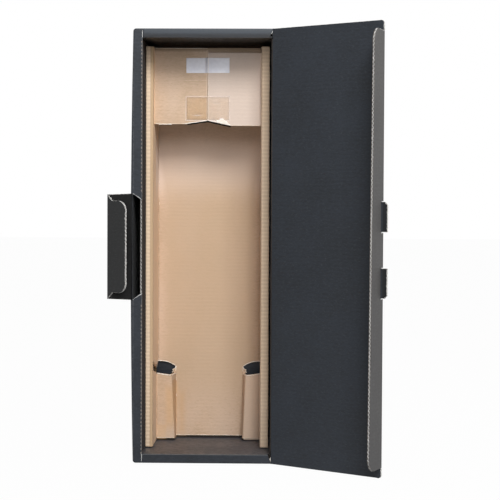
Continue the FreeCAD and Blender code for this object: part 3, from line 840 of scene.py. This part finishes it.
lockPanel = {
    "name": "lockBoard", "node": "lock_flap", "body": "lock_panel", "finish": "lockBoard",
    "fold": (-62.65, -51.15), "angle": 180.0,
    "noses": ((143.65, 236.35),),
    "plainEdges": (0.0, 19.05),
    "outline": [(0, 143.65), (19.05, 144.35), (19.05, 235.65), (0, 236.35)],
}
tipPanel = {
    "name": "lockTip", "node": "lock_flap_tip", "body": "lock_tip", "finish": "tipBoard",
    "fold": (-82.65, -51.15), "angle": -37.0,
    "noses": ((144.35, 235.65),),
    "plainEdges": (0.0,),
    "outline": [(0, 144.35), (5.0, 150.0)]
    + corner((12.0, 159.0), 9.0, -90, 0, 10) + corner((12.0, 221.0), 9.0, 0, 90, 10)
    + [(5.0, 230.0), (0, 235.65)],
}
for panel in (lidPanel, tuckPanel, lockPanel, tipPanel):
    makePanel(panel)


# the edges of the tray and cradle, which stay CAD pieces, get their paper layers laid on the cut face
def edgeStrip(piece, path, across, inward, liner, reach, edgeFinish, coreFinish, ragged=0.15):
    sizes = sheetSettings
    points = [(Vector(point) * mm, Vector(across), Vector(inward)) for point in path]
    half = sizes["board"] / 2
    for shift in (-half, half - liner):
        piece.add(paperLayer([points], False, edgeFinish, Pitch=sizes["pitch"], Swing=0, Shift=shift, Reach=reach,
                             Paper=liner, Ragged=ragged, Step=sizes["linerStep"]), edgeFinish)
    middle = sizes["medium"] / 2
    piece.add(paperLayer([points], False, coreFinish, Pitch=sizes["pitch"], Swing=half - liner - middle,
                         Shift=-middle, Reach=reach, Paper=sizes["medium"], Ragged=ragged,
                         Step=sizes["mediumStep"]), coreFinish)


# fuzzy torn lip of the facing paper beside a cut, laid on the board's face
def tornLip(piece, path, inward, finish, reach, fray=0.25, ragged=0.25):
    sizes = sheetSettings
    points = [(Vector(point) * mm, Vector((0, 1, 0)), Vector(inward).normalized()) for point in path]
    piece.add(paperLayer([points], False, finish, Pitch=sizes["pitch"], Swing=0, Shift=0, Reach=reach,
                         Paper=sizes["lipPaper"], Ragged=ragged, Fray=fray, Step=sizes["lipStep"]), finish)


# quadratic through three points, near enough to the die's arc
def arcThrough(first, middle, last, count=14):
    made = []
    first, middle, last = Vector(first), Vector(middle), Vector(last)
    control = middle * 2 - (first + last) / 2
    for i in range(count + 1):
        t = i / count
        made.append(first * (1 - t) ** 2 + control * 2 * t * (1 - t) + last * t * t)
    return made


# a small flat scrap in the plane of a panel, given as x-z corners, or as y-z corners with sideways
def scrap(piece, corners, depth, thick, finish, sideways=False):
    def place(u, z, level):
        return Vector((level, u, z) if sideways else (u, level, z)) * mm
    bm = bmesh.new()
    near = [bm.verts.new(place(u, z, depth)) for u, z in corners]
    far = [bm.verts.new(place(u, z, depth + thick)) for u, z in corners]
    bm.faces.new(near)
    bm.faces.new(far[::-1])
    for i in range(len(corners)):
        bm.faces.new((near[i - 1], near[i], far[i], far[i - 1]))
    bmesh.ops.recalc_face_normals(bm, faces=bm.faces)
    piece.add(meshFrom(bm, "scrap"), finish)


# each row names how it is laid, then its path or corners, its ways, finish and sizes
def makeEdges(name, slot, finishNames, rows):
    piece = Piece(name, finishNames)
    for lay, *values in rows:
        lay(piece, *values)
    piece.finish("tray", slot)


trayRows = (
    # the lock flap's cut-out: flutes of the inner panel's edge, whose liners are painted in shade, then the two
    # slanted ends of the rim
    (edgeStrip, [(-54.35, -47.6, 149.4), (-54.35, -47.6, 230.6)], (1, 0, 0), (0, 1, 0), 0.30, 0.4,
     "darkCore", "greyEdge"),
    (tornLip, [(-61.7, -48.1, 236.4), (-53.6, -48.1, 230.7)], (0.57, 0, 0.82), "greyEdge", 0.32),
    (tornLip, [(-61.7, -48.1, 143.6), (-53.6, -48.1, 149.3)], (0.57, 0, -0.82), "greyEdge", 0.32),
    # slits beside the left rim and slanted ends at the hinge wall
    (tornLip, [(-53.35, -48.1, 1.9), (-53.35, -48.1, 8.2)], (-1, 0, 0), "greyEdge", 0.35, 0.1),
    (tornLip, [(-53.35, -48.1, 372.0), (-53.35, -48.1, 378.1)], (-1, 0, 0), "greyEdge", 0.3, 0.1),
    # the rim's end at the hinge wall, a cut edge in painted shade
    (tornLip, [(59.75, -48.05, 9.5), (59.75, -48.05, 370.5)], (-1, 0, 0), "dimEdge", 0.8, 0.25, 0.15),
    (scrap, [(57.0, 8.9), (59.9, 8.9), (59.9, 4.8), (58.6, 3.2)], -48.12, 0.04, "deepShade"),
    (tornLip, [(60.0, -48.15, 7.0), (58.7, -48.15, 4.0), (59.7, -48.15, 1.7)], (1, 0, 0), "paleTear", 0.9, 0.3),
    (tornLip, [(58.4, -48.1, 375.2), (59.7, -48.1, 378.1)], (0.9, 0, -0.4), "greyEdge", 0.5, 0.2),
)
makeEdges("trayEdges", "box_board", ["greyEdge", "darkCore", "paleTear", "dimEdge", "deepShade"], trayRows)

cradleSettings = {"middle": 1.45, "behind": -3.1, "front": -4.95, "tears": (
    (-46.3, 43.4, 277.6, 2.2), (-46.2, 43.4, 247.0, 1.8), (-46.1, 43.4, 226.3, 2.6), (-29.7, 42.0, 62.0, 3.0),
    (-29.6, 43.6, 46.6, 2.6), (49.3, 43.4, 262.0, 1.6), (49.3, 43.4, 120.0, 2.4),
)}


# neck bridge: lower edges, the notch over the seam, the front flap's free edge
def bridgeRows(behind, front):
    return (
        (tornLip, [(-45.8, behind, 299.4), (-19.0, behind, 299.4)], (0, 0, 1), "kraftEdge", 0.5, 0.2),
        (tornLip, [(-19.0, behind, 299.4), (1.3, behind - 0.25, 302.4)], (-0.15, 0, 1), "paleTear", 0.8, 0.3),
        (tornLip, [(1.5, front, 302.4), (21.9, front - 0.25, 297.9)], (0.2, 0, 1), "paleTear", 0.9, 0.3),
        (tornLip, [(21.9, front, 297.9), (49.4, front, 297.9)], (0, 0, 1), "kraftEdge", 0.45, 0.15),
        (tornLip, [(1.45, front, 303.0), (1.45, front, 363.3)], (1, 0, 0), "kraftEdge", 0.4, 0.1, 0.1),
        (tornLip, [(-45.9, behind, 367.7), (1.0, behind, 367.7)], (0, 0, -1), "kraftEdge", 0.4, 0.1, 0.1),
        (tornLip, [(-43.0, behind, 299.4), (-31.0, behind, 299.4)], (0, 0, -1), "paleTear", 0.5, 0.2, 0.35),
        # the liners behind the notch hang a little lower, in shadow
        (tornLip, [(-17.0, -2.2, 299.8), (1.4, -2.2, 302.4)], (0.15, 0, -1), "deepShade", 1.3, 0.2, 0.12),
        (tornLip, [(1.4, -3.6, 302.5), (22.5, -3.6, 298.0)], (-0.2, 0, -1), "deepShade", 1.4, 0.2, 0.12),
        # a pale scrap over the tape above the notch's right edge: painted glare
        (scrap, [(9.0, 302.7), (12.4, 303.3), (14.4, 304.4),
                 (15.6, 304.0), (18.9, 301.7), (21.7, 298.3), (16.0, 299.5), (11.5, 300.5)], -5.18, 0.05, "paleTear"),
    )


# a lens hole and the foot of its seat; the right one is mirrored about the cradle's middle
def lensRows(middle, side):
    def at(x, y, z):
        return (x if side == 1 else 2 * middle - x, y, z)

    def spotsAt(y, *spots):
        return [at(x, y, z) for x, z in spots]

    upper = [at(p.x, 44.3, p.z) for p in arcThrough((-30.5, 0, 75.2), (-37.7, 0, 78.8), (-47.2, 0, 79.8))]
    lower = [at(p.x, 27.3, p.z) for p in arcThrough((-46.6, 0, 70.8), (-40.0, 0, 69.6), (-33.6, 0, 69.1))]
    tooth = ((-30.3, 74.6), (-31.6, 72.9), (-33.3, 72.2), (-32.9, 70.9))
    return (
        (tornLip, upper, (0, 0, 1), "paleTear", 0.8, 0.3),
        (tornLip, lower, (0, 0, -1), "paleTear", 0.8, 0.3),
        (tornLip, [at(-32.7, 27.6, 69.0), at(-29.9, 43.4, 68.8)], (0, 0, -1), "paleTear", 0.8, 0.3),
        (tornLip, spotsAt(44.3, (-30.4, 69.4), (-30.4, 75.2)), (side, 0, 0), "paleTear", 0.6, 0.3),
        (scrap, [point[::2] for point in spotsAt(0, *tooth, (-33.8, 69.2), (-30.3, 69.0))], 44.05, 0.8, "cradleBoard"),
        (tornLip, spotsAt(44.0, *tooth, (-33.8, 69.4)), (side, 0, -0.6), "paleTear", 0.5, 0.2, 0.15),
        # the outer panel of the double wall shows through the hole's end
        (scrap, [(24, 66), (44.2, 66), (44.2, 84), (24, 84)], at(-48.4, 0, 0)[0], 0.2, "kraftShade", True),
        (tornLip, spotsAt(27.3, (-46.5, 10.0), (-30.6, 10.0)), (0, 0, 1), "kraftEdge", 0.6, 0.15),
    )


# the foot of the back panel, then small tears where the creases cracked
def backRows(tears):
    foot = (tornLip, [(-29.6, 44.3, 10.0), (32.5, 44.3, 10.0)], (0, 0, 1), "kraftEdge", 0.7, 0.2)
    return (foot,) + tuple((tornLip, [(x, y, z), (x, y, z + length)], (1, -0.3, 0), "kraftEdge", 0.5, 0.3, 0.4)
                           for x, y, z, length in tears)


makeEdges("cradleEdges", "kraft_board", ["kraftEdge", "paleTear", "cradleBoard", "deepShade", "kraftShade"],
          bridgeRows(cradleSettings["behind"], cradleSettings["front"])
          + lensRows(cradleSettings["middle"], 1) + lensRows(cradleSettings["middle"], -1)
          + backRows(cradleSettings["tears"]))


# Geometry Nodes: one rib or mark repeated up a crease at the flute pitch
def repeatTree():
    tree, entry, leave = newGroup(
        "repeatUp",
        (("Geometry", "Geometry", None), ("Count", "Int", 10), ("Pitch", "Float", 0.0034), ("Uneven", "Float", 0.0001),
         ("Seed", "Int", 3), ("Finish", "Material", None)),
        (("Geometry", "Geometry"),), "GeometryNodeTree")
    given = entry.outputs
    stepUp = newNode(tree, "ShaderNodeCombineXYZ", {"Z": given["Pitch"]})
    spots = newNode(tree, "GeometryNodeMeshLine", {"Count": given["Count"], "Offset": stepUp.outputs[0]})
    place = newNode(tree, "GeometryNodeInstanceOnPoints", {"Points": spots.outputs[0], "Instance": given["Geometry"]})
    real = newNode(tree, "GeometryNodeRealizeInstances", {0: place.outputs[0]})
    merge = newNode(tree, "GeometryNodeMergeByDistance", {"Geometry": real.outputs[0], "Distance": 2e-6})
    where = newNode(tree, "GeometryNodeInputPosition", {}).outputs[0]
    seedMove = newNode(tree, "ShaderNodeCombineXYZ", {"X": given["Seed"]})
    where = vectorNode(tree, "ADD", where, seedMove.outputs[0])
    rough = newNode(tree, "ShaderNodeTexNoise", {"Vector": where, "Scale": 180.0}).outputs["Color"]
    apart = vectorNode(tree, "SUBTRACT", rough, (0.5, 0.5, 0.5))
    push = scaleNode(tree, apart, given["Uneven"])
    moved = newNode(tree, "GeometryNodeSetPosition", {"Geometry": merge.outputs[0], "Offset": push})
    paintOut(tree, entry, leave, moved.outputs[0])
    return tree


upTree = repeatTree()


def repeated(mesh, sizes, count, seed, finish):
    return runNodes(mesh, upTree, {"Count": count, "Pitch": sizes["pitch"] * mm, "Uneven": sizes["uneven"] * mm,
                                   "Seed": seed, "Finish": finishes[finish]})


# ribs that the flutes press up along the cradle's two front rims
rimRibs = {
    "left": (-53.45, -49.0), "right": (50.3, 57.2), "front": -14.05,
    "bottom": 8.9, "count": 105, "pitch": 3.42, "height": 0.075, "lift": 0.03, "bend": 1.1, "sideReach": 2.4,
    "uneven": 0.16, "firstSeed": 4, "steps": 8, "bendSteps": 6,
}


# section across the rim, then one flute's swell over it
def ribPatch(sizes, low, high):
    bend = sizes["bend"]
    front = sizes["front"] + bend
    section = [(low, front + sizes["sideReach"], -1, 0)]
    for centre, begin in ((low + bend, 180), (high - bend, 270)):
        for i in range(sizes["bendSteps"] + 1):
            turn = math.radians(begin + 90 / sizes["bendSteps"] * i)
            section.append((centre + bend * math.cos(turn), front + bend * math.sin(turn),
                            math.cos(turn), math.sin(turn)))
    section.append((high, front + sizes["sideReach"], 1, 0))
    bm = bmesh.new()
    layer = bm.verts.layers.float.new("ridge")
    rows = []
    for step in range(sizes["steps"] + 1):
        share = step / sizes["steps"]
        swell = math.sin(math.pi * share) ** 2
        off = sizes["lift"] + sizes["height"] * swell
        row = []
        for x, y, nx, ny in section:
            z = sizes["bottom"] + sizes["pitch"] * share
            vert = bm.verts.new(Vector((x + nx * off, y + ny * off, z)) * mm)
            vert[layer] = swell
            row.append(vert)
        rows.append(row)
    smoothRows(bm, rows)
    return meshFrom(bm, "rib")


# kraft for the rim ribs, with painted highlight on each rib's crest and painted shade between the ribs
def ribMaterial():
    material = finishes["kraftBoard"].copy()
    material.name = "rimKraft"
    tree = material.node_tree
    shader = tree.nodes["Principled BSDF"]
    under = shader.inputs["Base Color"].links[0].from_socket
    ridge = attributeNode(tree, "ridge")
    colour = mixColour(tree, rangeNode(tree, ridge, 0.0, 0.3, 0.22, 0.0), under, (0.56, 0.39, 0.25))
    colour = mixColour(tree, rangeNode(tree, ridge, 0.3, 1.0, 0.48, 0.72), colour, (0.86, 0.67, 0.48))
    plug(tree, colour, shader.inputs["Base Color"])
    return material


finishes["rimKraft"] = ribMaterial()


def makeRimRibs(sizes):
    piece = Piece("rimRibs", ["rimKraft"])
    for seed, side in enumerate(("left", "right"), sizes["firstSeed"]):
        patch = ribPatch(sizes, *sizes[side])
        piece.add(repeated(patch, sizes, sizes["count"], seed, "rimKraft"), "rimKraft")
    piece.finish("tray", "kraft_board")


makeRimRibs(rimRibs)

# worn marks on the left rim's inner crease and crushed flutes in its cut-out, one a flute
creaseMarks = {"width": 0.95, "length": 2.0, "rise": 0.1, "pitch": 3.4, "uneven": 0.25, "corners": 10, "spans": (
    {"x": -54.0, "y": -48.03, "start": 9.0, "count": 39, "finish": "wornInk"},
    {"x": -54.0, "y": -48.03, "start": 239.0, "count": 39, "finish": "wornInk"},
    {"x": -54.3, "y": -47.66, "start": 151.0, "count": 24, "finish": "greyCore"},
)}


def makeCreaseMarks(sizes):
    piece = Piece("creaseMarks", ["wornInk", "greyCore"])
    count = sizes["corners"]
    for seed, span in enumerate(sizes["spans"]):
        x, y, z = span["x"], span["y"], span["start"]
        bm = bmesh.new()
        ring = []
        for i in range(count):
            turn = 2 * math.pi * i / count
            ring.append(bm.verts.new(Vector((x + sizes["width"] / 2 * math.cos(turn), y,
                                             z + sizes["length"] / 2 * math.sin(turn))) * mm))
        top = bm.verts.new(Vector((x, y - sizes["rise"], z)) * mm)
        for i in range(count):
            bm.faces.new((ring[i], ring[(i + 1) % count], top)).smooth = True
        piece.add(repeated(meshFrom(bm, "mark"), sizes, span["count"], seed, span["finish"]), span["finish"])
    piece.finish("tray", "box_board")


makeCreaseMarks(creaseMarks)


# clear tape: thin film with painted glare spots, laid over the step between the bridge's flaps
tapeSettings = {
    "seam": 1.35, "backSkin": -3.1, "frontSkin": -4.95, "columns": 80, "rows": 40, "film": 0.05,
    "rim": (0.9, 1.9), "rimTan": (0.3, 2.0), "tanClears": 0.20, "leastHaze": 0.02, "wrinkleWidth": 0.45,
}
upperTape = dict(
    tapeSettings, name="tapeUpper", node="tape_upper", bridge=2.6,
    left=-18.05, right=20.95, bottom=345.3, top=358.8,
    hazeAndGlare=0.68, paintedLightBelow=0.25, rimHaze=0.0, tan=0.0, seamGap=0.0, glareSpots=(), wrinkles=())
lowerTape = dict(
    tapeSettings, name="tapeLower", node="tape_lower", bridge=0.9,
    left=-18.55, right=21.45, bottom=302.4, top=324.4,
    hazeAndGlare=0.22, paintedLightBelow=0.03, rimHaze=0.05, tan=0.5, seamGap=3.2,
    glareSpots=(((-8, 307.3), (5, 0.6), 0.16), ((10, 318.0), (4, 0.4), 0.14), ((14, 303.8), (3, 1.0), 0.3)),
    wrinkles=((-6.0, 309.0, 5.5), (9.5, 319.3, 4.5), (-14.0, 319.0, 2.5)))


def tapeMaterial():
    material, tree, shader = newMaterial("clearTape")
    place = objectPlace(tree)
    hazeAndGlare, tan = attributeNode(tree, "hazeAndGlare"), attributeNode(tree, "tan")
    cloud = noiseNode(tree, place, 120.0, 2.0)
    # bluish white of the film: its milkiness, and painted glare where the film is made more opaque
    colour = mixColour(tree, cloud, (0.84, 0.84, 0.92), (0.92, 0.92, 0.97))
    colour = mixColour(tree, rangeNode(tree, tan, 0.0, 0.5), colour, (0.46, 0.315, 0.165))
    colour = mixColour(tree, rangeNode(tree, tan, 0.5, 1.0), colour, (0.24, 0.17, 0.105))
    film = mathNode(tree, "MULTIPLY_ADD", mathNode(tree, "SUBTRACT", cloud, 0.5), 0.08, hazeAndGlare, clamp=True)
    plugAll(tree, shader, {
        "Base Color": colour,
        "Roughness": rangeNode(tree, cloud, 0.3, 0.7, 0.10, 0.26),
        "Alpha": film,
        "IOR": 1.45,
        "Specular IOR Level": mathNode(tree, "MULTIPLY_ADD", tan, -0.45, 0.5),
    })
    wrinkle = noiseNode(tree, vectorNode(tree, "MULTIPLY", place, (1.0, 1.0, 0.45)), 150.0, 2.0)
    addBump(tree, shader, wrinkle, 0.0002, 0.4)
    return material


finishes["clearTape"] = tapeMaterial()


# how milky and how tan the film is at a point, with painted glare spots and painted light towards the bottom added to
# the milkiness; step is how far it has climbed to the front flap
def tapeLook(sizes, x, z, step):
    narrow, wide = sizes["rim"]
    rim = min(x - sizes["left"], sizes["right"] - x, sizes["top"] - z, z - sizes["bottom"])
    # painted light: the film grows whiter towards its bottom
    hazeAndGlare = sizes["hazeAndGlare"] + sizes["paintedLightBelow"] * (sizes["top"] - z) / (sizes["top"] - sizes["bottom"])
    hazeAndGlare += 0.05 * (noise.noise(Vector((x, 3.0, z)) * 0.35))
    rimTan = 1.0
    if sizes["rimHaze"]:
        hazeAndGlare += sizes["rimHaze"] * max(0, 1 - rim / wide)
        rimTan = sizes["rimTan"][0] if rim < narrow else (sizes["rimTan"][1] if rim < wide else 1.0)
    hazeAndGlare -= sizes["tanClears"] * sizes["tan"] * step
    # painted glare spots, which also clear the tan
    glare = 0
    for centre, spread, share in sizes["glareSpots"]:
        glare += share * math.exp(-((x - centre[0]) / spread[0]) ** 2 - ((z - centre[1]) / spread[1]) ** 2)
    # the film over the step between the flaps hardly shows
    hazeAndGlare = (hazeAndGlare + glare) * (1 - sizes["seamGap"] * step * (1 - step))
    marks = 0
    for markX, markZ, length in sizes["wrinkles"]:
        off = (z - markZ - 0.15 * (x - markX)) / sizes["wrinkleWidth"]
        marks += 0.5 * math.exp(-((x - markX) / length) ** 2 - off ** 2)
    tan = sizes["tan"] * rimTan * max(0, 1 - 4 * glare) + marks
    return min(1, max(sizes["leastHaze"], hazeAndGlare)), min(1, tan)


def makeTape(sizes):
    columns, rows = sizes["columns"], sizes["rows"]
    bm = bmesh.new()
    hazeAndGlareLayer = bm.verts.layers.float.new("hazeAndGlare")
    tanLayer = bm.verts.layers.float.new("tan")
    grid = []
    for row in range(rows + 1):
        line = []
        z = sizes["bottom"] + (sizes["top"] - sizes["bottom"]) * row / rows
        for column in range(columns + 1):
            x = sizes["left"] + (sizes["right"] - sizes["left"]) * column / columns
            step = min(1, max(0, (x - sizes["seam"]) / sizes["bridge"] + 1))
            step = step * step * (3 - 2 * step)
            y = sizes["backSkin"] + (sizes["frontSkin"] - sizes["backSkin"]) * step
            lift = 0.03 + 0.03 * noise.noise(Vector((x * 0.5, 9.0, z * 0.3)))
            vert = bm.verts.new(Vector((x, y - lift, z)) * mm)
            vert[hazeAndGlareLayer], vert[tanLayer] = tapeLook(sizes, x, z, step)
            line.append(vert)
        grid.append(line)
    smoothRows(bm, grid)
    mesh = meshFrom(bm, sizes["name"])
    mesh.materials.append(finishes["clearTape"])
    piece = bpy.data.objects.new(sizes["name"], mesh)
    scene.collection.objects.link(piece)
    shell = piece.modifiers.new("filmThickness", "SOLIDIFY")
    shell.thickness = sizes["film"] * mm
    piece.visible_shadow = False  # clear film, so the board under it stays lit
    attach(piece, "tray")
    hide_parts(sizes["node"])
    print("bottle box:", sizes["name"])


makeTape(upperTape)
makeTape(lowerTape)


print("bottle box: scene built")
